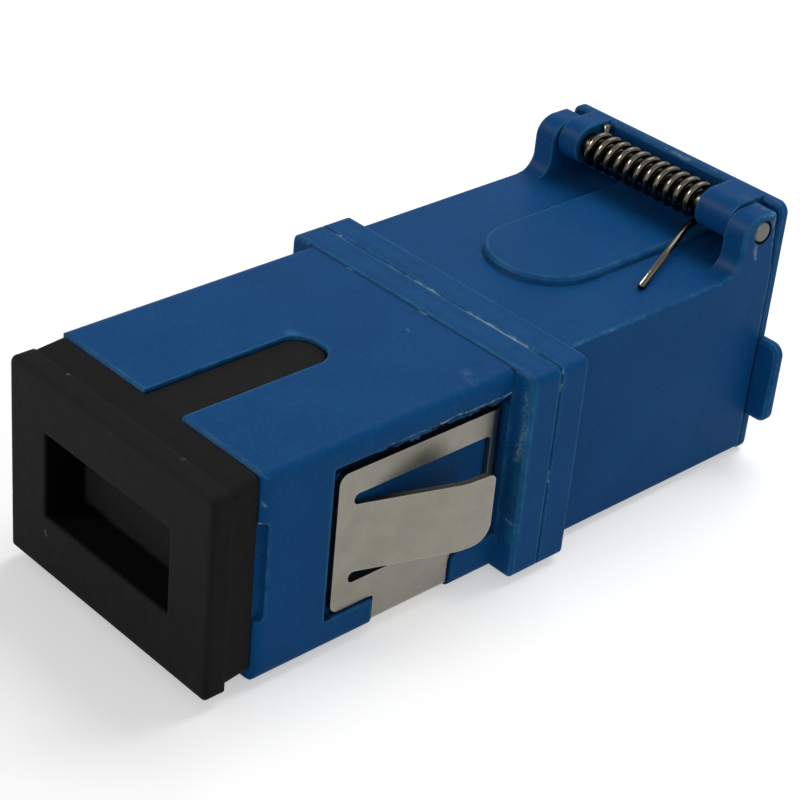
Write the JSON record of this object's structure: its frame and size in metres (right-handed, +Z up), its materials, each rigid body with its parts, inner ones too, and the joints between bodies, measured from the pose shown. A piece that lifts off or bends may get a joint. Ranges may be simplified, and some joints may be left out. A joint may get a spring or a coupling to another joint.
{
  "type": "sc fibre adapter",
  "caption": "Shuttered SC feed-through adapter with welded body, spring shutter on a hinge pin, dust cap, split sleeve, latch inserts and a sprung steel panel clip.",
  "frame": {"origin": "on the optical axis, in the weld plane of the collar, which is the middle of the split sleeve's bore", "axes": "+Y along the optical axis towards the shutter, -Y towards the dust cap, +Z up through the hinge, X across the body"},
  "size_m": [0.0154, 0.0313, 0.0124],
  "materials": {
    "body_blue": "fine moulded",
    "insert_plastic": "moulded",
    "ceramic": "ground ceramic",
    "clip_steel": "satin stainless",
    "cap_black": "fine moulded",
    "pin_steel": "drawn",
    "spring_steel": "bright drawn"
  },
  "bodies": {
    "adapter": {"front_housing": "body_blue", "rear_housing": "body_blue", "front_latch_insert": "insert_plastic", "rear_latch_insert": "insert_plastic", "alignment_sleeve": "ceramic", "mounting_clip": "clip_steel", "hinge_pin": "pin_steel", "shutter_spring": "spring_steel"},
    "door": {"shutter": "body_blue"},
    "cap": {"dust_cap": "cap_black"}
  },
  "joints": [
    {"name": "shutter_hinge", "type": "hinge", "parent": "adapter", "child": "door", "pos_m": [0, 0.013, 0.0065], "axis": [1, 0, 0], "range_deg": [0, 95], "stiffness_Nm_per_rad": 0.0008, "springref_deg": -51.57, "deforming": ["shutter_spring"]},
    {"name": "dust_cap_pull", "type": "slide", "parent": "adapter", "child": "cap", "axis": [0, -1, 0], "range_m": [0, 0.02]}
  ]
}
